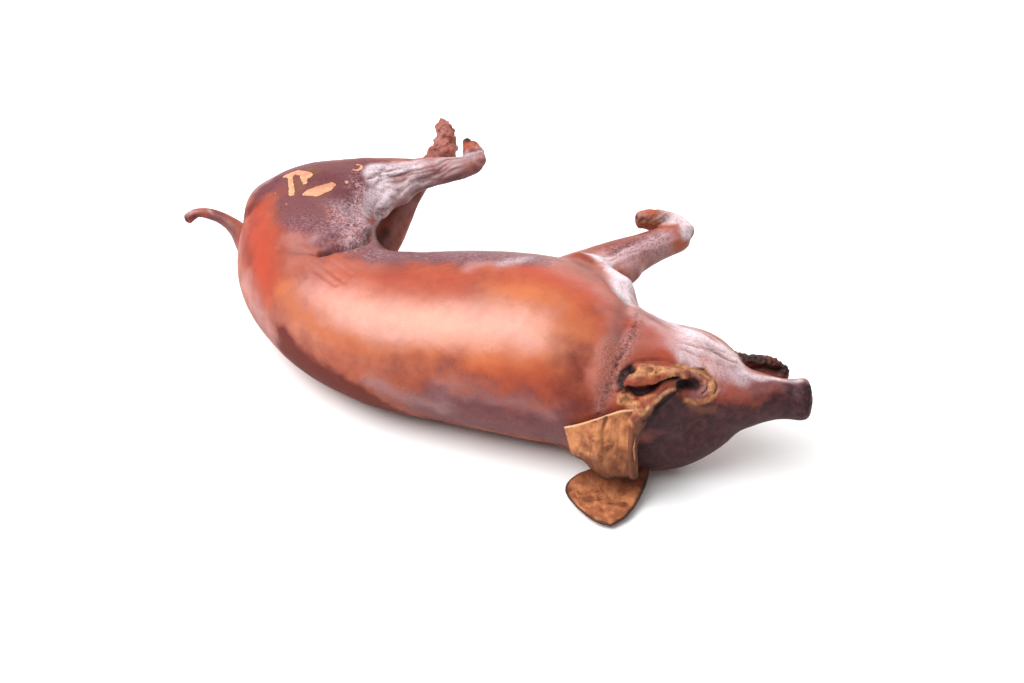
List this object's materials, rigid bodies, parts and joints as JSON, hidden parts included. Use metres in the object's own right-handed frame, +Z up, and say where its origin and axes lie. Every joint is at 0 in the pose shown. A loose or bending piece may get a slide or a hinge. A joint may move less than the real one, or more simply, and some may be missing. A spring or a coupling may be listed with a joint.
{
  "type": "smoked suckling pig",
  "caption": "Whole smoked suckling pig lying on its side, with glossy red-brown skin, raised hocks, folded forefeet, floppy ears and a thin curled tail.",
  "frame": {"origin": "middle of the bounding box's underside, on the surface that the pig lies on", "axes": "+X from the rump to the snout, +Y from the back to the belly, +Z up, from the right side that it lies on to its left side"},
  "size_m": [0.6262, 0.4374, 0.1543],
  "materials": {
    "smoked_skin": "glossy smoked skin, red-brown, darker and speckled on the ham and low on the flank, tan ears, charred rims and snout"
  },
  "bodies": {
    "root": {"suckling_pig": "smoked_skin"}
  },
  "joints": []
}
